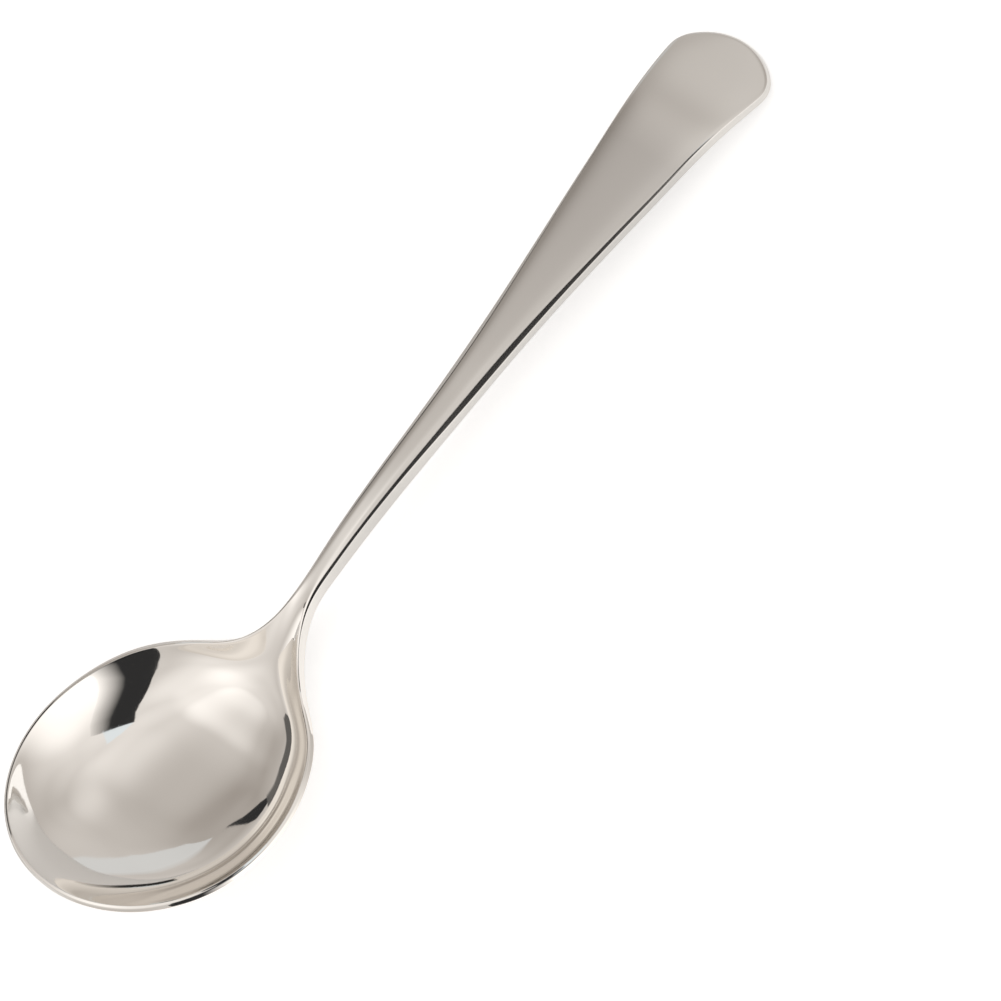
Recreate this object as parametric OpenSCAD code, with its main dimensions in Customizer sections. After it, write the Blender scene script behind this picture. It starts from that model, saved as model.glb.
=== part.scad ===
// Soup spoon, pressed from one blank of stainless steel and polished all over.
// +X runs from the bowl to the handle's end and +Z is up. The spoon lies on its bowl and on the
// handle's end, with the origin under the middle of its length, on the surface that it lies on.

/* [Overall] */
// Length of the upper face, from the front of the bowl to the handle's end
spoon_len = 175; // [155:1:200]

/* [Bowl] */
// Width of the bowl inside its rim
bowl_w = 45.6; // [38:0.2:52]
// From the front of the bowl to its widest place
bowl_front = 22.8; // [18:0.2:28]
// From the widest place to where the oval of the bowl would close
bowl_back = 24.6; // [20:0.2:30]
// Depth of the hollow under the rim, at its middle
bowl_depth = 8.5; // [6:0.1:12]
// Thickness of the bowl's floor
floor_t = 1.5; // [1:0.1:2.5]
// How far the front of the rim stands above the rim at the shoulders
rim_rise = 18; // [8:0.1:22]
// How far the rim sinks below a straight line on the way
rim_sag = 1.05; // [0:0.05:2]
// Width of the rim's edge, square to the wall
rim_t = 1.15; // [0.8:0.05:1.6]
// How far the edge of the rim leans outward, in degrees from upright
rim_lean = 61; // [40:1:75]

/* [Neck] */
// Radius of the hollow curve that joins the bowl to the neck, in plan
shoulder_r = 19.5; // [12:0.5:30]
// Width of the neck's upper face
neck_w = 2; // [1.6:0.1:5]
// Thickness of the neck
neck_t = 3.5; // [2.5:0.1:5]
// Height of the neck's upper face above the rim at the shoulders
neck_rise = 5.1; // [3:0.1:12]

/* [Handle] */
// Width that the handle's upper face reaches before its round end
handle_w = 19.6; // [14:0.2:26]
// Widening of the narrow part of the handle, each side, in mm for each mm of length
slim_taper = 0.034; // [0.01:0.002:0.06]
// Widening of the broad part of the handle, each side, in mm for each mm of length
broad_taper = 0.13; // [0.08:0.002:0.18]
// Radius of the handle's round end, in plan
end_r = 11.6; // [9:0.1:16]
// Thickness of the handle at its middle
handle_t = 3.3; // [2:0.1:4.5]
// Thickness of the handle at its end
end_t = 1.8; // [1.4:0.1:3.5]
// Length of the last stretch, which bends down to the table
droop_len = 32; // [15:1:50]
// Height of the handle's upper face where that stretch starts, less than at the neck
arch_drop = 3.25; // [0:0.05:5]
// How far the side walls lean outward towards the underside
side_lean = 0.25; // [0:0.05:0.6]
// Radius of the polished edges
edge_r = 0.3; // [0.1:0.05:0.45]

/* [Smoothness] */
// Sections along the length
sections = 112; // [40:2:140]
// Points across the upper face
across = 16; // [8:2:24]

/* [Hidden] */

bowl_r = bowl_w/2;
neck_r = neck_w/2;
// The oval's back half is a circle of the bowl's radius, stretched by this much
oval_stretch = bowl_back/bowl_r;
// Where the shoulder's curve leaves the oval and where it meets the neck
shoulder_reach = sqrt(pow(bowl_r + shoulder_r, 2) - pow(neck_r + shoulder_r, 2));
shoulder_x = bowl_front + oval_stretch*shoulder_reach*bowl_r/(bowl_r + shoulder_r);
neck_x = bowl_front + oval_stretch*shoulder_reach;
// The handle's broad part starts to widen here, so that its sides reach handle_w at the round end
flare_end_x = spoon_len - end_r*0.62;
flare_x = flare_end_x - (handle_w/2 - neck_r - slim_taper*(flare_end_x - neck_x))/(broad_taper - slim_taper);
// Length over which one taper turns into the other, and of the blend into the round end
taper_blend = end_r*1.08;
corner_blend = end_r*0.094;
droop_x = spoon_len - droop_len;
rim_end_x = bowl_front + bowl_back*0.98;

// How steep the hollow's wall is: a higher power gives a flatter floor
wall_power = 4;
// Depth of the hollow along the middle, as shares of the bowl's depth; the places are shares of
// the distance from the front to the widest place, and then of the distance from there to the neck
hollow_front_shares = [[0, 0], [0.12, 0.36], [0.3, 0.7], [0.6, 0.945], [1, 1]];
hollow_back_shares = [[0.3, 0.9], [0.48, 0.64], [0.62, 0.34], [0.76, 0.13], [0.9, 0.03], [1, 0]];

// A smooth curve through points given as [place, value]
function slope(p, i) = (p[i + 1][1] - p[i][1])/(p[i + 1][0] - p[i][0]);
function tangent(p, i) =
    i == 0 ? slope(p, 0) :
    i == len(p) - 1 ? slope(p, i - 1) :
    let (before = p[i][0] - p[i - 1][0], after = p[i + 1][0] - p[i][0])
    (slope(p, i)*before + slope(p, i - 1)*after)/(before + after);
function span_at(p, x) = min(len(p) - 2, max(0, len([for (q = p) if (q[0] <= x) 1]) - 1));
function through(p, x) =
    let (i = span_at(p, x), gap = p[i + 1][0] - p[i][0], t = (x - p[i][0])/gap)
    let (t2 = t*t, t3 = t2*t)
    (2*t3 - 3*t2 + 1)*p[i][1] + (t3 - 2*t2 + t)*gap*tangent(p, i)
    + (3*t2 - 2*t3)*p[i + 1][1] + (t3 - t2)*gap*tangent(p, i + 1);

// Half the width of the upper face at x: oval bowl, hollow shoulder, then the handle
function bend(u) = (u + sqrt(u*u + taper_blend*taper_blend))/2;
function handle_edge(x) =
    neck_r + slim_taper*(x - neck_x)
    + (broad_taper - slim_taper)*(bend(x - flare_x) - bend(neck_x - flare_x));
function end_arc(x) = x < spoon_len - end_r ? end_r : sqrt(max(0, pow(end_r, 2) - pow(x - spoon_len + end_r, 2)));
function soft_min(a, b, blend) = (a + b - sqrt(pow(a - b, 2) + blend*blend))/2;
function half_width(x) =
    x <= bowl_front ? bowl_r*sqrt(max(0, 1 - pow(1 - x/bowl_front, 2))) :
    let (u = (x - bowl_front)/oval_stretch)
    x <= shoulder_x ? sqrt(bowl_r*bowl_r - u*u) :
    x <= neck_x ? neck_r + shoulder_r - sqrt(max(0, pow(shoulder_r, 2) - pow(shoulder_reach - u, 2))) :
    soft_min(handle_edge(x), end_arc(x), corner_blend*end_arc(x)/end_r);

// Depth of the hollow along the middle
hollow_line = concat(
    [for (q = hollow_front_shares) [q[0]*bowl_front, q[1]*bowl_depth]],
    [for (q = hollow_back_shares) [bowl_front + q[0]*(neck_x - bowl_front), q[1]*bowl_depth]]);
function hollow(x) = x >= neck_x ? 0 : through(hollow_line, x);

// Height of the upper face's edge above the rim at the shoulders, up to where the handle droops
rise_x = (neck_x - rim_end_x)/2;
function rim_height(x) =
    let (t = x/rim_end_x)
    rim_rise*(1 - t) - rim_sag*4*t*(1 - t);
rim_line = [for (k = [0:1:4]) [rim_end_x*k/4, rim_height(rim_end_x*k/4)]];
neck_line = [
    [rim_end_x + rise_x*0.7, neck_rise*0.35],
    [rim_end_x + rise_x*1.45, neck_rise*0.775],
    [neck_x + rise_x*0.5, neck_rise],
    [(neck_x + droop_x)/2, neck_rise - arch_drop*0.33],
    [droop_x, neck_rise - arch_drop]];

// Thickness of the metal along the middle, and height of the side walls
middle_t_line = [
    [0, rim_t], [bowl_front*0.4, floor_t*0.9], [bowl_front, floor_t], [shoulder_x, floor_t*1.2],
    [(shoulder_x + neck_x)/2, (floor_t*1.2 + neck_t)/2], [neck_x, neck_t],
    [(neck_x + droop_x)/2, handle_t], [droop_x, (handle_t + end_t)/2], [spoon_len, end_t]];
side_line = [
    [0, rim_t*cos(rim_lean)], [bowl_front, rim_t*cos(rim_lean)], [shoulder_x, rim_t*0.8],
    [(shoulder_x + neck_x)/2, neck_t*0.64], [neck_x, neck_t*0.97],
    [(neck_x + droop_x)/2, handle_t], [droop_x, (handle_t + end_t)/2], [spoon_len, end_t]];
side_out_line = [
    [0, rim_t*sin(rim_lean)], [bowl_front, rim_t*sin(rim_lean)], [shoulder_x, rim_t*0.75],
    [(shoulder_x + neck_x)/2, side_lean*1.9], [neck_x, side_lean*1.1],
    [(neck_x + droop_x)/2, side_lean], [spoon_len, side_lean]];

// The bowl's underside touches the table, and so does the handle's end
bowl_low = min([for (k = [0:1:40]) let (x = rim_end_x*k/40)
    through(concat(rim_line, neck_line), x) - hollow(x) - through(middle_t_line, x)]);
edge_line = concat(rim_line, neck_line, [
    [droop_x + droop_len*0.5, bowl_low + end_t + (neck_rise - arch_drop - bowl_low - end_t)*0.77],
    [spoon_len, bowl_low + end_t]]);

// Power of the cross-section's curve: rounder towards the two ends of the bowl
function section_power(x) =
    2 + (wall_power - 2)*max(0, 1 - pow((x - bowl_front)/bowl_back, 2));

// The sections are closer together towards the two ends, where the outline turns fastest
first_share = 0.006;
function place(k) = spoon_len*(1 - cos(180*(first_share + (1 - 2*first_share)*k/sections)))/2;
// Points across a face are closer together near the edges
function spread(j, n) = sin(90*(1 - 2*j/n));

function outward(x) =
    let (step = spoon_len*0.0001, a = max(0, x - step), b = min(spoon_len, x + step))
    let (d = [b - a, half_width(b) - half_width(a)])
    [-d[1], d[0]]/norm(d);

function section(x) =
    let (
        w = half_width(x), z = through(edge_line, x), deep = hollow(x), power = section_power(x),
        side = through(side_line, x), out = through(side_out_line, x)*outward(x),
        low_w = w + out[1], low_x = x + out[0], low_z = z - side,
        low_deep = deep + through(middle_t_line, x) - side,
        r = min(edge_r, w*0.3), wall = norm([out[0], out[1], side]), cut = min(0.45, edge_r/wall))
    concat(
        [for (j = [0:1:across]) let (s = spread(j, across)*(1 - r/w))
            [x, s*w, z - deep*(1 - pow(abs(s), power))]],
        [side_point(x, -w, z, low_x, -low_w, low_z, cut*0.3, r*0.3),
         side_point(x, -w, z, low_x, -low_w, low_z, cut, 0),
         side_point(x, -w, z, low_x, -low_w, low_z, 1 - cut, 0),
         side_point(x, -w, z, low_x, -low_w, low_z, 1 - cut*0.3, r*0.3)],
        [for (j = [across:-1:0]) let (s = spread(j, across)*(1 - r/w))
            [low_x, s*low_w, low_z - low_deep*(1 - pow(abs(s), power))]],
        [side_point(x, w, z, low_x, low_w, low_z, 1 - cut*0.3, -r*0.3),
         side_point(x, w, z, low_x, low_w, low_z, 1 - cut, 0),
         side_point(x, w, z, low_x, low_w, low_z, cut, 0),
         side_point(x, w, z, low_x, low_w, low_z, cut*0.3, -r*0.3)]);

// A point on the side wall, a share of the way down, drawn in by a small amount at the corners
function side_point(x, y, z, low_x, low_y, low_z, share, draw_in) =
    [x + (low_x - x)*share, y + (low_y - y)*share + draw_in, z + (low_z - z)*share];

module spoon() {
    rings = [for (k = [0:1:sections]) section(place(k))];
    ring_len = len(rings[0]);
    points = concat([for (ring = rings) each ring], [mean(rings[0]), mean(rings[sections])]);
    walls = [for (k = [0:1:sections - 1], j = [0:1:ring_len - 1])
        let (a = k*ring_len + j, b = k*ring_len + (j + 1)%ring_len)
        each [[a, a + ring_len, b], [b, a + ring_len, b + ring_len]]];
    last = sections*ring_len;
    front_cap = [for (j = [0:1:ring_len - 1]) [len(points) - 2, j, (j + 1)%ring_len]];
    end_cap = [for (j = [0:1:ring_len - 1]) [len(points) - 1, last + (j + 1)%ring_len, last + j]];
    low = min([for (p = points) p[2]]);
    left = min([for (p = points) p[0]]);
    right = max([for (p = points) p[0]]);
    color([0.80, 0.78, 0.75])
        translate([-(left + right)/2, 0, -low])
            polyhedron(points = points, faces = concat(walls, front_cap, end_cap));
}

function mean(ring) = [for (i = [0:1:2]) total([for (p = ring) p[i]])/len(ring)];
function total(values) = [for (v = values) 1]*values;

spoon();
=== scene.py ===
import math
import bpy
import numpy as np
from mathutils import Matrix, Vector


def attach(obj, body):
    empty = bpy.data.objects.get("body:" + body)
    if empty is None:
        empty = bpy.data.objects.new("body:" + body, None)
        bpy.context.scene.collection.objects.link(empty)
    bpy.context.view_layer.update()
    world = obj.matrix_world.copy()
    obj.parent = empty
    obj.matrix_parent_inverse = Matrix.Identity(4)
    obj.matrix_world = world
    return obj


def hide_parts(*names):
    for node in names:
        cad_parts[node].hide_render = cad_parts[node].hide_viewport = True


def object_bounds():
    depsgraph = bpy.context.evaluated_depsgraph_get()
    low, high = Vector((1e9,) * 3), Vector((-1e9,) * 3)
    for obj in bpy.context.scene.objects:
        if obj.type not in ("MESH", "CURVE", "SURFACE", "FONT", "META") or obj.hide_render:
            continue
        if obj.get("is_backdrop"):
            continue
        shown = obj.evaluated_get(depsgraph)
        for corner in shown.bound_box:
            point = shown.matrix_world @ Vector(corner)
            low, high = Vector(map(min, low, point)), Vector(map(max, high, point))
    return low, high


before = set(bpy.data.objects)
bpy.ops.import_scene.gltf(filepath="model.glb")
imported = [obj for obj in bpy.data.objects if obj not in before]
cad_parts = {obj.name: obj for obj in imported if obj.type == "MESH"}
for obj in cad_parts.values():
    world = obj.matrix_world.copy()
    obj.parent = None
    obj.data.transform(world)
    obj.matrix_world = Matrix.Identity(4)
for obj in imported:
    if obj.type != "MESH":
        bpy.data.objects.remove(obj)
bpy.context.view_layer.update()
print("frame loaded")

mm = 0.001

view = {
    "location": (-0.02124, -0.316092, 0.594884),     # metres
    "turn": (18.3794, 20.2202, -50.8532),   # degrees, XYZ
    "lens": 148.925,
    "sensor": 36.0,
    "nearest": 0.01,
}

cameraData = bpy.data.cameras.new("photoCamera")
cameraData.lens = view["lens"]
cameraData.sensor_width = view["sensor"]
cameraData.clip_start = view["nearest"]
camera = bpy.data.objects.new("photoCamera", cameraData)
camera.location = view["location"]
camera.rotation_euler = [math.radians(a) for a in view["turn"]]
bpy.context.scene.collection.objects.link(camera)
bpy.context.scene.camera = camera
print("camera placed")

spoonShape = {
    "length": 175.0,          # over the upper face, mm like the rest
    "bowlRadius": 22.8,
    "bowlBack": 24.6,         # from the widest place to where the oval would close
    "bowlDepth": 8.5,
    "floorThickness": 1.5,
    "rimRise": 18.0,
    "rimSag": 1.05,
    "rimWidth": 1.15,
    "rimLean": 61.0,          # degrees from upright
    "rimEnds": 0.98,          # where the rim's line ends, share of the bowl's back
    "shoulderRadius": 19.5,
    "neckRadius": 1.0,
    "neckThickness": 3.5,
    "neckRise": 5.1,
    "handleRadius": 9.8,
    "slimTaper": 0.034,
    "broadTaper": 0.13,
    "endRadius": 11.6,
    # shares of the end's radius: where the handle is widest, the bend between its tapers, and how
    # softly its sides run into the round end
    "flareEnds": 0.62,
    "flareBlend": 1.08,
    "endBlend": 0.094,
    "handleThickness": 3.3,
    "endThickness": 1.8,
    "droopLength": 32.0,
    "archDrop": 3.25,
    "sideLean": 0.25,
    "frontShares": [(0, 0), (0.12, 0.36), (0.3, 0.7), (0.6, 0.945), (1, 1)],
    "backShares": [(0.3, 0.9), (0.48, 0.64), (0.62, 0.34), (0.76, 0.13), (0.9, 0.03), (1, 0)],
    "wallPowers": (2, 4),     # how steep the bowl's wall is: at both ends, at the widest place
    # shares of the floor's thickness: a place on the way to the front and its share, the shoulders
    "frontFloor": (0.4, 0.9),
    "shoulderFloor": 1.2,
    # the side wall's height and lean at the shoulders, as shares of the rim's width
    "shoulderSide": (0.8, 0.75),
    "neckSides": (0.64, 0.97),    # its height before the neck and at it, shares of the neck's thickness
    "neckLeans": (1.9, 1.1),      # its lean at the same places, shares of the handle's
    # the upper face's line: place and height on the way up to the neck, and how far past it this ends
    "risePoints": [(0.7, 0.35), (1.45, 0.775)],
    "risePast": 0.5,
    "archShare": 0.33,        # share of the arch's fall that is reached at the handle's middle
    "droopPoint": (0.5, 0.77),    # place and height on the last stretch
    "handleCrown": 0.2,       # the handle's upper face falls this much towards its edges
    "crownStretch": 16.0,     # the crown is full this far past the neck
    "crownPower": 5,
    "edgeRound": 0.28,
    "roundShares": (0.3, 0.4),    # its most, as shares of the half width and of the side's height
    # place along the spoon and width of the polished slope along the handle's upper edges
    "edgeSlopes": [(40, 0.4), (62, 0.42), (85, 0.5), (108, 0.78), (130, 0.5), (146, 0.34), (163, 0.2)],
    "slopeEnds": 163.0,       # where that slope has run out
    "slopeStretch": 24.0,     # and over what length it does
    "slopeFalls": [(50, 1.0), (62, 0.9), (76, 0.73)],     # its fall as a share of its width
    "slopeMost": 0.5,         # its most, share of the half width
    "slopeInside": 0.4,       # share of the slope that lies inside the outline
    # how much wider the handle is than the outline, each side
    "handleSwell": [(44, 0), (56, 0.26), (85, 0.26), (112, 0.24), (132, 0.1), (146, 0)],
    "footShare": 0.89,        # how far out the side wall's foot lies, share of its lean
    "cellsAlong": 74,
    "cellsAcross": 16,
    "evenShare": 0.45,        # how evenly the cells lie across; the rest get narrower towards the rim
    "stationShares": [0, 0.3, 0.42, 0.56, 0.8, 0.95, 1],
    "stationPlaces": [42, 62, 88, 138],
    "cornerAngle": 46.0,      # where the first row of the mesh meets the bowl's sides, degrees
    # shares of the end's radius: the last row's distance from the end, the row before it, and the
    # length over which the rows take the round end's shape
    "endRows": (0.36, 0.43, 2.24),
    "rowPower": 1.6,          # how soon they do
    # how finely lines are sampled: the bowl, the round end, the whole length
    "bowlSteps": 41,
    "endSteps": 400,
    "lineSteps": 1600,
    "normalStep": 0.0001,     # share of the length, for the direction square to the outline
    "smoothLevels": 2,
}
s = spoonShape


def smoothCurve(places, values):
    # a smooth curve through the given points
    places, values = np.array(places, float), np.array(values, float)
    gaps = np.diff(places)
    slopes = np.diff(values) / gaps
    middle = (slopes[1:] * gaps[:-1] + slopes[:-1] * gaps[1:]) / (gaps[1:] + gaps[:-1])
    tangents = np.concatenate([slopes[:1], middle, slopes[-1:]])

    def curve(x):
        x = np.asarray(x, float)
        i = np.clip(np.searchsorted(places, x, side="right") - 1, 0, len(places) - 2)
        t = (x - places[i]) / gaps[i]
        t2, t3 = t * t, t * t * t
        start = (2 * t3 - 3 * t2 + 1) * values[i] + (t3 - 2 * t2 + t) * gaps[i] * tangents[i]
        return start + (3 * t2 - 2 * t3) * values[i + 1] + (t3 - t2) * gaps[i] * tangents[i + 1]
    return curve


def easeStep(x, start, end):
    t = np.clip((np.asarray(x, float) - start) / (end - start), 0, 1)
    return t * t * (3 - 2 * t)


# where the outline's parts meet, along the spoon from the front of the bowl
radius, shoulder, neck, endR = s["bowlRadius"], s["shoulderRadius"], s["neckRadius"], s["endRadius"]
stretch = s["bowlBack"] / radius
reach = math.sqrt((radius + shoulder) ** 2 - (neck + shoulder) ** 2)
shoulderX = radius + stretch * reach * radius / (radius + shoulder)
neckX = radius + stretch * reach
flareEnd = s["length"] - endR * s["flareEnds"]
flareGain = s["handleRadius"] - neck - s["slimTaper"] * (flareEnd - neckX)
flareX = flareEnd - flareGain / (s["broadTaper"] - s["slimTaper"])
droopX = s["length"] - s["droopLength"]
middleX = (neckX + droopX) / 2
halfwayX = (shoulderX + neckX) / 2
rimEnd = radius + s["bowlBack"] * s["rimEnds"]
tiny = 1e-6      # smallest width, so that nothing is divided by zero


def halfWidth(x):
    x = np.asarray(x, float)
    blend = endR * s["flareBlend"]

    def bend(u):
        return (u + np.sqrt(u * u + blend * blend)) / 2

    flare = bend(x - flareX) - bend(neckX - flareX)
    handle = neck + s["slimTaper"] * (x - neckX) + (s["broadTaper"] - s["slimTaper"]) * flare
    toEnd = x - s["length"] + endR
    arc = np.where(toEnd < 0, endR, np.sqrt(np.maximum(0, endR ** 2 - toEnd ** 2)))
    soft = s["endBlend"] * arc
    handle = (handle + arc - np.sqrt((handle - arc) ** 2 + soft * soft)) / 2
    u = (x - radius) / stretch
    front = radius * np.sqrt(np.maximum(0, 1 - (1 - x / radius) ** 2))
    oval = np.sqrt(np.maximum(0, radius * radius - u * u))
    hollowSide = neck + shoulder - np.sqrt(np.maximum(0, shoulder ** 2 - (reach - u) ** 2))
    back = np.where(x <= shoulderX, oval, np.where(x <= neckX, hollowSide, handle))
    return np.where(x <= radius, front, back)


def outlineNormal(x):
    # pointing outward in plan
    step = s["length"] * s["normalStep"]
    a, b = np.maximum(0, x - step), np.minimum(s["length"], x + step)
    d = np.stack([halfWidth(a) - halfWidth(b), b - a])
    return d / np.sqrt((d * d).sum(0))


# heights and thicknesses along the spoon
floorT, neckT = s["floorThickness"], s["neckThickness"]
handleT, endT = s["handleThickness"], s["endThickness"]
shoulderT = floorT * s["shoulderFloor"]
lateT = (handleT + endT) / 2
rimHigh = s["rimWidth"] * math.cos(math.radians(s["rimLean"]))
rimOut = s["rimWidth"] * math.sin(math.radians(s["rimLean"]))
hollowCurve = smoothCurve(
    [a * radius for a, b in s["frontShares"]] + [radius + a * (neckX - radius) for a, b in s["backShares"]],
    [b * s["bowlDepth"] for a, b in s["frontShares"] + s["backShares"]])
middleThickness = smoothCurve(
    [0, radius * s["frontFloor"][0], radius, shoulderX, halfwayX, neckX, middleX, droopX, s["length"]],
    [s["rimWidth"], floorT * s["frontFloor"][1], floorT, shoulderT, (shoulderT + neckT) / 2,
     neckT, handleT, lateT, endT])
sideHeight = smoothCurve(
    [0, radius, shoulderX, halfwayX, neckX, middleX, droopX, s["length"]],
    [rimHigh, rimHigh, s["rimWidth"] * s["shoulderSide"][0], *(neckT * a for a in s["neckSides"]),
     handleT, lateT, endT])
sideOut = smoothCurve(
    [0, radius, shoulderX, halfwayX, neckX, middleX, s["length"]],
    [rimOut, rimOut, s["rimWidth"] * s["shoulderSide"][1], *(s["sideLean"] * a for a in s["neckLeans"]),
     s["sideLean"], s["sideLean"]])
rimShares = (0, 0.25, 0.5, 0.75, 1)
rimX = [rimEnd * a for a in rimShares]
rimZ = [s["rimRise"] * (1 - a) - s["rimSag"] * 4 * a * (1 - a) for a in rimShares]


def hollow(x):
    return np.where(x >= neckX, 0.0, hollowCurve(np.minimum(x, neckX)))


drop = s["neckRise"] - s["archDrop"]
rise = (neckX - rimEnd) / 2
lineX = rimX + [rimEnd + rise * a for a, b in s["risePoints"]]
lineX += [neckX + rise * s["risePast"], middleX, droopX]
lineZ = rimZ + [s["neckRise"] * b for a, b in s["risePoints"]]
lineZ += [s["neckRise"], s["neckRise"] - s["archDrop"] * s["archShare"], drop]
bowlX = np.linspace(0, rimEnd, s["bowlSteps"])
lowest = (smoothCurve(lineX, lineZ)(bowlX) - hollow(bowlX) - middleThickness(bowlX)).min()
endZ = lowest + endT
edgeHeight = smoothCurve(lineX + [droopX + s["droopLength"] * s["droopPoint"][0], s["length"]],
                         lineZ + [endZ + (drop - endZ) * s["droopPoint"][1], endZ])
# the lower edge of the side wall lies further out, so its own x is looked up back to the outline's
tableX = s["length"] * (1 - np.cos(np.linspace(0, math.pi, s["lineSteps"]))) / 2
tableOut = tableX + sideOut(tableX) * outlineNormal(tableX)[0]
centreX = (tableOut[0] + tableOut[-1]) / 2


def wallPower(x):
    atEnds, atWidest = s["wallPowers"]
    return atEnds + (atWidest - atEnds) * np.maximum(0, 1 - ((x - radius) / s["bowlBack"]) ** 2)


def crown(x):
    return s["handleCrown"] * easeStep(x, halfwayX, neckX + s["crownStretch"])


def upperHeight(x, y):
    x = np.clip(x, 0, s["length"])
    share = np.minimum(1, np.abs(y) / np.maximum(halfWidth(x), tiny))
    hollowed = hollow(x) * (1 - share ** wallPower(x))
    return edgeHeight(x) - hollowed - crown(x) * share ** s["crownPower"] - lowest


def lowerHeight(xLow, y):
    x = np.interp(xLow, tableOut, tableX)
    side = sideHeight(x)
    width = np.maximum(halfWidth(x) + sideOut(x) * outlineNormal(x)[1], tiny)
    share = np.minimum(1, np.abs(y) / width)
    deep = hollow(x) + middleThickness(x) - side
    return edgeHeight(x) - side - deep * (1 - share ** wallPower(x)) - lowest


def gridPlace(u, v, out):
    # plan position for u (0 front, 1 end) and v (-1 to 1) on the outline moved outward by out
    frontX = radius * (1 - math.cos(math.radians(s["cornerAngle"])))
    lastRow, rowBefore, rowFade = (endR * a for a in s["endRows"])
    endX = s["length"] - lastRow
    stations = smoothCurve(s["stationShares"], [frontX] + s["stationPlaces"] + [endX - rowBefore, endX])
    x = stations(u)
    step = out(x) * outlineNormal(x)
    bx, bw = x + step[0], halfWidth(x) + step[1]
    y = v * bw
    # rows near the front follow the bowl's round front, rows near the end the round end
    rOut = radius + out(np.array([0.0]))[0]
    fadeFront = np.clip((radius - x) / (radius - frontX), 0, 1) ** s["rowPower"]
    frontLine = np.sqrt(np.maximum(0, rOut ** 2 - bw * bw)) - np.sqrt(np.maximum(0, rOut ** 2 - y * y))
    fadeStart = s["length"] - rowFade
    fadeEnd = np.clip((x - fadeStart) / (endX - fadeStart), 0, 1) ** s["rowPower"]
    endTable = np.linspace(flareEnd, s["length"], s["endSteps"])
    endNormal = outlineNormal(endTable)
    endOut = out(np.array([endX]))[0]
    ex, ew = endTable + endOut * endNormal[0], np.maximum(halfWidth(endTable) + endOut * endNormal[1], 0)
    endLine = np.interp(np.abs(y), ew[::-1], ex[::-1]) - np.interp(bw, ew[::-1], ex[::-1])
    return bx + fadeFront * frontLine + fadeEnd * endLine, y


def acrossSpread(v):
    # cells get narrower towards the rim, where the wall is steep
    return s["evenShare"] * v + (1 - s["evenShare"]) * np.sin(v * math.pi / 2)


def slopeShare(x):
    # how much of the polished slope there is: none on the bowl's rim, all along the slim handle
    lastFull = s["slopeEnds"] - s["slopeStretch"]
    return easeStep(x, halfwayX, neckX) * (1 - easeStep(x, lastFull, s["slopeEnds"]))


def handleTable(pairs, x):
    # a table of places and values, level beyond its ends
    places, values = zip(*pairs)
    return np.maximum(0, smoothCurve(places, values)(np.clip(x, places[0], places[-1])))


def slopeWidth(x):
    return np.minimum(handleTable(s["edgeSlopes"], x), halfWidth(x) * s["slopeMost"]) * slopeShare(x)


def swell(x):
    return handleTable(s["handleSwell"], x)


def roundIn(x):
    return np.minimum(s["edgeRound"], halfWidth(x) * s["roundShares"][0])


def topOut(x):
    return swell(x) - roundIn(x) - slopeWidth(x) * s["slopeInside"]


def footOut(x):
    return sideOut(x) * s["footShare"] + swell(x)


def undersideOut(x):
    return sideOut(x) + swell(x) - roundIn(x)


def addFace(name, out, height):
    bpy.ops.object.select_all(action="DESELECT")
    bpy.ops.mesh.primitive_grid_add(x_subdivisions=s["cellsAlong"], y_subdivisions=s["cellsAcross"], size=2)
    face = bpy.context.active_object
    face.name = name
    co = np.array([v.co[:] for v in face.data.vertices])
    x, y = gridPlace((co[:, 0] + 1) / 2, acrossSpread(co[:, 1]), out)
    z = height(x, y)
    for vertex, px, py, pz in zip(face.data.vertices, x, y, z):
        vertex.co = ((px - centreX) * mm, py * mm, pz * mm)
    return face


def rimPlaces():
    # the grid's four sides as one closed round of u and v
    n, m = s["cellsAlong"], s["cellsAcross"]
    u = np.linspace(0, 1, n + 1)
    v = acrossSpread(np.linspace(-1, 1, m + 1))
    us = np.concatenate([u[:-1], np.ones(m), u[:0:-1], np.zeros(m)])
    vs = np.concatenate([-np.ones(n), v[:-1], np.ones(n), v[:0:-1]])
    return us, vs


wallShape = {
    "loops": 9,
    "roundFalls": (0.5, 0.85),    # the fall to both edges where there is no slope, shares of the rounding
    # shares of the polished slope's width that its inner edge and the wall below it lie lower
    "edgeFalls": (0.03, 0.22),
    "slopeFoot": 0.24,        # share of the way out to the foot at the slope's outer edge
    "wallPlace": 0.42,        # share of the way out and down at the wall's middle
    "edgeTuck": 0.1,          # where there is no slope, the edge lies in by this share of the rounding
    # loops in between: on the slope, below it, and on the way down to the foot
    "slopeLoops": (0.2, 0.8),
    "bendLoop": 0.25,
    "footLoops": (0.4, 0.74),
}

spoon = addFace("spoonVisual", topOut, upperHeight)
underside = addFace("spoonUnderside", undersideOut, lowerHeight)

# the underside turns over and is joined on, then the two rims are bridged for the side wall
bpy.ops.object.select_all(action="DESELECT")
underside.select_set(True)
bpy.context.view_layer.objects.active = underside
bpy.ops.object.mode_set(mode="EDIT")
bpy.ops.mesh.select_all(action="SELECT")
bpy.ops.mesh.flip_normals()
bpy.ops.object.mode_set(mode="OBJECT")
spoon.select_set(True)
bpy.context.view_layer.objects.active = spoon
bpy.ops.object.join()
faceVertices = len(spoon.data.vertices)      # the side wall's vertices come after these
bpy.ops.object.mode_set(mode="EDIT")
bpy.ops.mesh.select_mode(type="EDGE")
bpy.ops.mesh.select_all(action="DESELECT")
bpy.ops.mesh.select_non_manifold()
bpy.ops.mesh.bridge_edge_loops(number_cuts=wallShape["loops"], interpolation="LINEAR")
bpy.ops.object.mode_set(mode="OBJECT")

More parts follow.
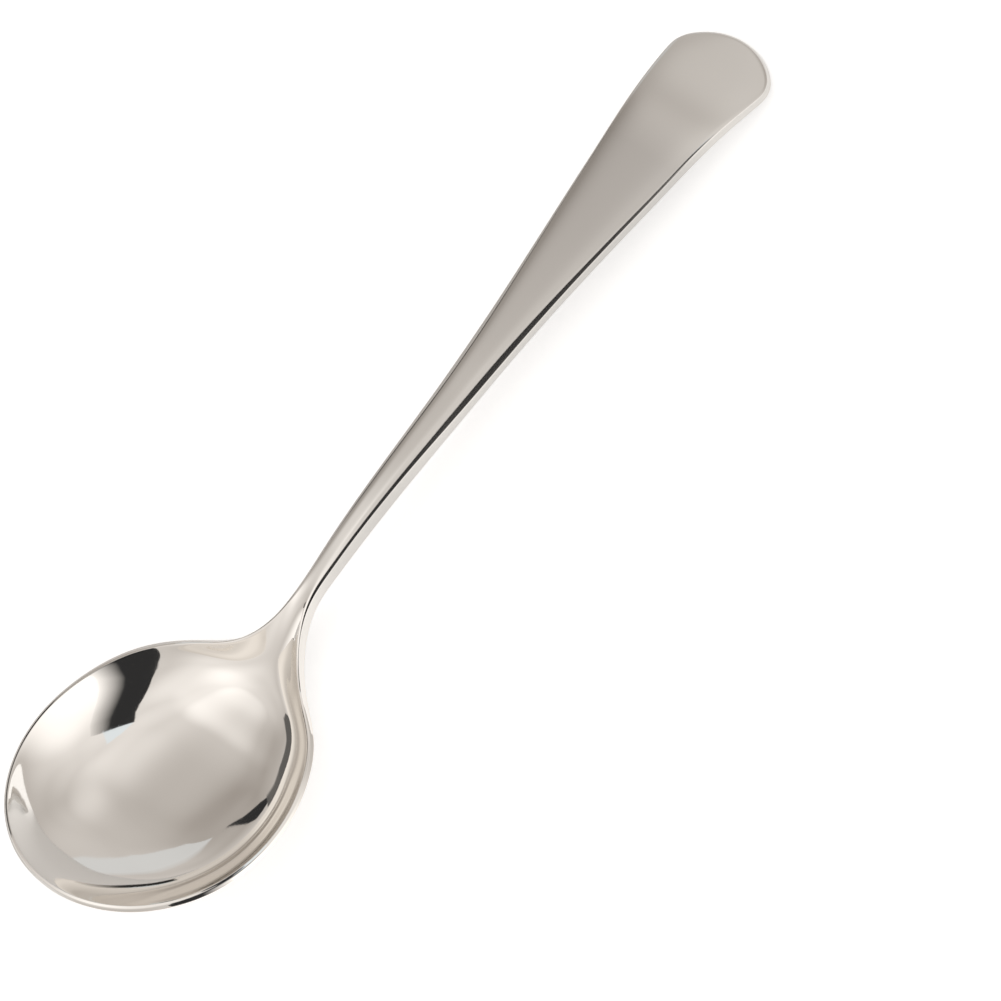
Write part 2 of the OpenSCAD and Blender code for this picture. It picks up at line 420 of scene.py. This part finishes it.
# the new loops take the side wall's profile, given as shares of the way out and down
rimU, rimV = rimPlaces()
cornerX = gridPlace(rimU, rimV, np.zeros_like)[0]
onSpoonX = np.clip(cornerX, 0, s["length"])
slope = slopeWidth(cornerX)
high = sideHeight(onSpoonX)
rounding = np.minimum(s["edgeRound"], high * s["roundShares"][1]) * (1 - slopeShare(cornerX))


def wallLoop(out, down, downSlope):
    # out: how far the loop lies from the outline; down, downSlope: how far below the upper edge
    x, y = gridPlace(rimU, rimV, out)
    z = edgeHeight(onSpoonX) - crown(cornerX) - lowest - down - downSlope
    return np.stack([x - centreX, y, z], 1)


def rimLoop(out, height):
    x, y = gridPlace(rimU, rimV, out)
    return np.stack([x - centreX, y, height(x, y)], 1)


def outline(slopePart, wallPart):
    # how far out, for a share of the polished slope and of the side wall's lean
    return lambda x: (swell(x) + sideOut(x) * wallPart + slopeWidth(x) * (slopePart - s["slopeInside"])
                      - s["edgeRound"] * (1 - slopeShare(x)) * wallShape["edgeTuck"])


def between(a, b, share):
    return a + (b - a) * share


innerRound, outerRound = wallShape["roundFalls"]
innerFall, wallFall = wallShape["edgeFalls"]
wallPlace = wallShape["wallPlace"]
inner = wallLoop(outline(0, 0), rounding * innerRound, slope * innerFall)
outer = wallLoop(outline(1, wallShape["slopeFoot"]), rounding * outerRound,
                 slope * handleTable(s["slopeFalls"], cornerX))
wall = wallLoop(outline(1, wallPlace), high * wallPlace, slope * wallFall)
foot = rimLoop(footOut, lowerHeight)
loops = [inner, *(between(inner, outer, a) for a in wallShape["slopeLoops"]), outer]
loops += [between(outer, wall, wallShape["bendLoop"]), wall]
loops += [*(between(wall, foot, a) for a in wallShape["footLoops"]), foot]

# where the bridge put each loop, to tell which vertex belongs to which
top, bottom = rimLoop(topOut, upperHeight), rimLoop(undersideOut, lowerHeight)
steps = wallShape["loops"] + 1
bridged = np.concatenate([top + (bottom - top) * k / steps for k in range(1, steps)])
placed = np.concatenate(loops)
worst = 0
for vertex in list(spoon.data.vertices)[faceVertices:]:
    apart = ((bridged - np.array(vertex.co[:]) / mm) ** 2).sum(1)
    i = int(apart.argmin())
    worst = max(worst, apart[i])
    vertex.co = placed[i] * mm
print("side wall placed, worst match %.4f mm" % math.sqrt(worst))

bpy.ops.object.mode_set(mode="EDIT")
bpy.ops.mesh.select_all(action="SELECT")
bpy.ops.mesh.normals_make_consistent(inside=False)
bpy.ops.object.mode_set(mode="OBJECT")
smooth = spoon.modifiers.new("smooth", "SUBSURF")
smooth.levels = s["smoothLevels"]
bpy.ops.object.modifier_apply(modifier="smooth")
bpy.ops.object.shade_smooth()
print("spoon shaped:", len(spoon.data.polygons), "faces")

steelLook = {
    "colour": (0.80, 0.775, 0.74),
    # painted shade: the handle's colour darkens along its length, standing in for the dimmer surroundings
    # it reflects; place along the spoon and share of the colour
    "paintedShadeShares": [(59, 1), (66, 0.85), (79, 0.79), (92, 0.85), (111, 0.79), (135, 0.74), (150, 0.72),
                   (158, 0.83), (175, 0.83)],
    "bowlRoughness": (0.03, 0.06),
    "handleRoughness": (0.10, 0.17),
    "satinEnds": (-4, 6),     # the bowl's mirror turns into satin between these, mm from the neck
    "scratchSize": (150, 5200, 2400),             # noise scale along, across and up, per metre
    "scratchTurns": (24, -31),                    # degrees; two crossing sets
    "scratchDetail": 3.0,
    "scratchRoughness": 0.65,
    "scratchDepth": 0.0000005,
    "cloudScale": 55,
    "cloudDetail": 4.0,
    "wearEnds": (1.0, 2.0),   # sum of the three noises where the roughness is least and most
}


def newMaterial(name):
    material = bpy.data.materials.new(name)
    material.use_nodes = True
    return material, material.node_tree


def addNode(tree, kind, **inputs):
    node = tree.nodes.new(kind)
    for name, value in inputs.items():
        node.inputs[name].default_value = value
    return node


def addMath(tree, operation, *parts):
    # parts: plain numbers or the outputs to link
    node = tree.nodes.new("ShaderNodeMath")
    node.operation = operation
    for socket, part in zip(node.inputs, parts):
        if isinstance(part, float):
            socket.default_value = part
        else:
            tree.links.new(part, socket)
    return node.outputs[0]


def addRange(tree, source, fromEnds, toEnds=(0, 1), smooth=False):
    node = tree.nodes.new("ShaderNodeMapRange")
    if smooth:
        node.interpolation_type = "SMOOTHSTEP"
    for name, value in zip(("From Min", "From Max", "To Min", "To Max"), (*fromEnds, *toEnds)):
        node.inputs[name].default_value = value
    tree.links.new(source, node.inputs["Value"])
    return node.outputs[0]


def addRamp(tree, source, stops):
    # stops: place from 0 to 1, colour
    node = tree.nodes.new("ShaderNodeValToRGB")
    elements = node.color_ramp.elements
    for element, (place, colour) in zip(elements, (stops[0], stops[-1])):
        element.position, element.color = place, colour
    for place, colour in stops[1:-1]:
        elements.new(place).color = colour
    tree.links.new(source, node.inputs[0])
    return node.outputs[0]


def polishedSteel():
    material, tree = newMaterial("polishedSteel")
    link = tree.links.new
    shader = tree.nodes["Principled BSDF"]
    shader.inputs["Metallic"].default_value = 1.0
    coordinates = tree.nodes.new("ShaderNodeTexCoord").outputs["Object"]
    part = tree.nodes.new("ShaderNodeSeparateXYZ")
    link(coordinates, part.inputs[0])
    satinEnds = [(neckX - centreX + end) * mm for end in steelLook["satinEnds"]]
    satin = addRange(tree, part.outputs["X"], satinEnds, smooth=True)

    # the colour along the spoon, with painted shade that darkens the handle
    first, last = steelLook["paintedShadeShares"][0][0], steelLook["paintedShadeShares"][-1][0]
    along = addRange(tree, part.outputs["X"], [(place - centreX) * mm for place in (first, last)])
    stops = [((place - first) / (last - first), (*(share * c for c in steelLook["colour"]), 1))
             for place, share in steelLook["paintedShadeShares"]]
    link(addRamp(tree, along, stops), shader.inputs["Base Color"])

    # fine crossing polish marks
    sets = []
    for turn in steelLook["scratchTurns"]:
        mapping = addNode(tree, "ShaderNodeMapping", Rotation=(0, 0, math.radians(turn)),
                          Scale=steelLook["scratchSize"])
        noise = addNode(tree, "ShaderNodeTexNoise", Scale=1.0, Detail=steelLook["scratchDetail"],
                        Roughness=steelLook["scratchRoughness"])
        link(coordinates, mapping.inputs["Vector"])
        link(mapping.outputs[0], noise.inputs["Vector"])
        sets.append(noise.outputs["Fac"])
    marks = addMath(tree, "ADD", *sets)
    cloud = addNode(tree, "ShaderNodeTexNoise", Scale=steelLook["cloudScale"],
                    Detail=steelLook["cloudDetail"])
    link(coordinates, cloud.inputs["Vector"])
    wear = addMath(tree, "ADD", marks, cloud.outputs["Fac"])
    roughness = tree.nodes.new("ShaderNodeMix")
    link(satin, roughness.inputs["Factor"])
    for socket, ends in (("A", steelLook["bowlRoughness"]), ("B", steelLook["handleRoughness"])):
        link(addRange(tree, wear, steelLook["wearEnds"], ends), roughness.inputs[socket])
    link(roughness.outputs["Result"], shader.inputs["Roughness"])
    bump = addNode(tree, "ShaderNodeBump", Strength=1.0, Distance=steelLook["scratchDepth"])
    link(marks, bump.inputs["Height"])
    link(bump.outputs[0], shader.inputs["Normal"])
    return material


spoon.data.materials.clear()
spoon.data.materials.append(polishedSteel())
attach(spoon, "root")
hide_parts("spoon")
print("steel on")

lightTent = {
    "radius": 0.45,
    "segments": 96,
    "rings": 48,
    "colour": (0.317, 0.282, 0.252),
    # soft lights and shades: direction (turn, height), angle of the full part and angle where it
    # ends, amount
    "spots": [
        ((-80, 11), 0, 51, 0.683),
        ((-165, 90), 12, 50, 0.304),
        ((145, 55), 9, 40, 0.457),
        ((77, 59), 14, 87, -0.39),
        ((-4, 29), 14, 54, 0.357),
        ((-12, 66), 1, 49, 0.168),
        ((-95, 34), 14, 88, 0.448),
        ((120, 46), 7, 69, -0.534),
        ((72, 6), 2, 70, 0.584),
        ((136, 42), 14, 75, 0.918),
        ((21, 45), 0, 23, 0.192),
        ((135, -1), 0, 28, 0.536),
        ((38, 69), 1, 26, 0.202),
        ((95, 68), 0, 14, 0.243),
        ((57, 26), 1, 21, 0.152),
        ((90, 39), 9, 38, -0.203),
        ((62, 53), 0, 23, 0.113),
        ((8, 35), 3, 27, 0.132),
    ],
    "cardPlace": 0.985,       # share of the tent's radius
    "cardCells": 6,           # between two points of a card's edge, and across it
}


def direction(turn, height):
    a, h = math.radians(turn), math.radians(height)
    return Vector((math.cos(h) * math.cos(a), math.cos(h) * math.sin(a), math.sin(h)))


def newCloth(name):
    # a glowing material that is met by chance, not sampled as a lamp
    material, tree = newMaterial(name)
    material.cycles.emission_sampling = "NONE"
    tree.nodes.clear()
    output = tree.nodes.new("ShaderNodeOutputMaterial")
    glow = tree.nodes.new("ShaderNodeEmission")
    return material, tree, output.inputs["Surface"], glow


def tentCloth():
    material, tree, surface, glow = newCloth("tentCloth")
    link = tree.links.new
    coordinates = tree.nodes.new("ShaderNodeTexCoord")
    unit = tree.nodes.new("ShaderNodeVectorMath")
    unit.operation = "NORMALIZE"
    link(coordinates.outputs["Object"], unit.inputs[0])
    total = None
    for place, full, end, amount in lightTent["spots"]:
        dot = tree.nodes.new("ShaderNodeVectorMath")
        dot.operation = "DOT_PRODUCT"
        dot.inputs[1].default_value = direction(*place)
        link(unit.outputs[0], dot.inputs[0])
        ends = [math.cos(math.radians(angle)) for angle in (end, full)]
        add = tree.nodes.new("ShaderNodeVectorMath")
        add.operation = "MULTIPLY_ADD"
        link(addRange(tree, dot.outputs["Value"], ends, smooth=True), add.inputs[0])
        add.inputs[1].default_value = (amount, amount, amount)
        if total is None:
            add.inputs[2].default_value = lightTent["colour"]
        else:
            link(total, add.inputs[2])
        total = add.outputs[0]
    link(total, glow.inputs["Color"])
    link(glow.outputs[0], surface)
    return material


bpy.ops.object.select_all(action="DESELECT")
bpy.ops.mesh.primitive_uv_sphere_add(segments=lightTent["segments"], ring_count=lightTent["rings"],
                                     radius=lightTent["radius"])
tent = bpy.context.active_object
tent.name = "lightTent"
bpy.ops.object.shade_smooth()
tent.data.materials.append(tentCloth())
tent.visible_camera = False
tent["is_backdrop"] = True


def cardCloth(name, stops):
    material, tree, surface, glow = newCloth(name)
    link = tree.links.new
    clear = tree.nodes.new("ShaderNodeBsdfTransparent")
    mix = tree.nodes.new("ShaderNodeMixShader")
    uv = tree.nodes.new("ShaderNodeTexCoord")
    part = tree.nodes.new("ShaderNodeSeparateXYZ")
    link(uv.outputs["UV"], part.inputs[0])
    across = part.outputs["Y"]
    tones = [(place, (*colour, 1)) for place, colour, opacity in stops]
    covers = [(place, (opacity, opacity, opacity, 1)) for place, colour, opacity in stops]
    link(addRamp(tree, across, tones), glow.inputs["Color"])
    link(addRamp(tree, across, covers), mix.inputs[0])
    link(clear.outputs[0], mix.inputs[1])
    link(glow.outputs[0], mix.inputs[2])
    link(mix.outputs[0], surface)
    return material


def onEdge(edge, share):
    k = share * (len(edge) - 1)
    i = min(int(k), len(edge) - 2)
    return direction(*edge[i]).lerp(direction(*edge[i + 1]), k - i)


def addCard(name, edgeA, edgeB, stops):
    # a card on the tent between two edges given as (turn, height); stops: place, colour, opacity
    bpy.ops.object.select_all(action="DESELECT")
    cells = lightTent["cardCells"]
    along = cells * (max(len(edgeA), len(edgeB)) - 1)
    bpy.ops.mesh.primitive_grid_add(x_subdivisions=along, y_subdivisions=cells, size=2)
    card = bpy.context.active_object
    card.name = name
    for vertex in card.data.vertices:
        share, across = (vertex.co.x + 1) / 2, (vertex.co.y + 1) / 2
        d = onEdge(edgeA, share).lerp(onEdge(edgeB, share), across)
        vertex.co = d.normalized() * (lightTent["radius"] * lightTent["cardPlace"])
    card.data.materials.append(cardCloth(name + "Cloth", stops))
    card.visible_camera = False
    card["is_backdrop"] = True


cardTones = {
    "dark": (0.035, 0.035, 0.036),
    "grey": (0.14, 0.135, 0.13),
    "soft": (0.30, 0.29, 0.28),
    "pale": (0.79, 0.81, 0.82),
    "white": (0.91, 0.98, 1.03),
}
dark, grey, soft, pale, white = cardTones.values()
addCard("darkOpening",
        [(-16.1, 68.4), (-45.8, 68.5), (-66.6, 67.3), (-90, 63),
         (-110.1, 53.4), (-120.1, 43.3), (-125.1, 30.9), (-131.6, 18.3)],
        [(-39.1, 48.8), (-52.1, 44.4), (-63.4, 40.8), (-77.4, 35.1),
         (-89.1, 27.6), (-97.3, 19.4), (-100.4, 12.7), (-104, 7.5)],
        [(0, dark, 1), (0.52, dark, 1), (0.61, grey, 0.9), (0.8, soft, 0.6), (1, soft, 0.14)])
addCard("whiteFlap",
        [(-16.3, 67.9), (-8.6, 63.3), (-10.4, 59.1)], [(-28.2, 64.6), (-32.8, 58.6), (-36.9, 55)],
        [(0, white, 1), (1, white, 1)])
addCard("darkWedge", [(89.5, 14.8), (85.5, 13.4), (82.3, 12.3), (77.6, 17.3), (66.2, 31.4)],
        [(89, 18), (86.3, 21.5), (82.1, 24.4), (72.1, 28), (66.3, 31.7)], [(0, dark, 1), (1, dark, 1)])
addCard("greyArc", [(100.3, 12), (94.7, 10.5), (88.8, 9)], [(100, 25), (93.9, 23), (86.4, 24.5)],
        [(0, grey, 1), (0.75, grey, 0.95), (1, soft, 0)])
addCard("greyLobe", [(99.8, 12), (103.1, 11), (109.3, 11), (115, 12), (122, 18)],
        [(99.5, 24.5), (104, 26), (110, 31), (116, 33), (122.5, 25)],
        [(0, grey, 1), (0.86, grey, 1), (1, soft, 0.2)])
addCard("paleBand",
        [(63.4, 31), (61.9, 22), (58, 14.5), (52.7, 9.1), (46.2, 6.2), (39.4, -0.5), (34.8, -4.5)],
        [(62.7, 31.4), (52.4, 33.7), (45.7, 29.9), (38.8, 24), (35.2, 14.1), (33, 4.1), (32.1, -1.6)],
        [(0, pale, 0.2), (0.3, pale, 0.8), (1, pale, 0.8)])
print("light tent set")

stage = {
    "floorSize": 3.0,
    "floorColour": (0.8, 0.8, 0.8),
    "floorRoughness": 1.0,
    "seenLift": 0.50,         # brings the floor up to white where it is seen
    "mirroredLift": 0.56,     # and to pale grey where the steel shows it, in front of the spoon
    "liftEnds": (-0.03, 0.05),    # it fades out between these, behind the spoon
    "worldColour": (1, 1, 1),
    "worldStrength": 1.0,
}

bpy.ops.object.select_all(action="DESELECT")
bpy.ops.mesh.primitive_plane_add(size=stage["floorSize"], location=(0, 0, 0))
floor = bpy.context.active_object
floor.name = "floor"
paleFloor, floorTree = newMaterial("paleFloor")
surface = floorTree.nodes["Principled BSDF"]
surface.inputs["Base Color"].default_value = (*stage["floorColour"], 1)
surface.inputs["Roughness"].default_value = stage["floorRoughness"]
surface.inputs["Emission Color"].default_value = (1, 1, 1, 1)
path = floorTree.nodes.new("ShaderNodeLightPath")
place = floorTree.nodes.new("ShaderNodeTexCoord")
split = floorTree.nodes.new("ShaderNodeSeparateXYZ")
floorTree.links.new(place.outputs["Object"], split.inputs[0])
fadeOut = addRange(floorTree, split.outputs["Y"], stage["liftEnds"], (stage["mirroredLift"], 0),
                   smooth=True)
seen = addMath(floorTree, "ADD", path.outputs["Is Camera Ray"], path.outputs["Is Transmission Ray"])
whole = addMath(floorTree, "MULTIPLY", seen, stage["seenLift"])
lift = addMath(floorTree, "MULTIPLY_ADD", path.outputs["Is Glossy Ray"], fadeOut, whole)
floorTree.links.new(lift, surface.inputs["Emission Strength"])
floor.data.materials.append(paleFloor)
floor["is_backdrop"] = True

world = bpy.data.worlds.new("studio")
bpy.context.scene.world = world
world.use_nodes = True
background = world.node_tree.nodes["Background"]
background.inputs["Color"].default_value = (*stage["worldColour"], 1)
background.inputs["Strength"].default_value = stage["worldStrength"]
bpy.context.scene.view_settings.view_transform = "Standard"
print("stage set")

low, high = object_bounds()
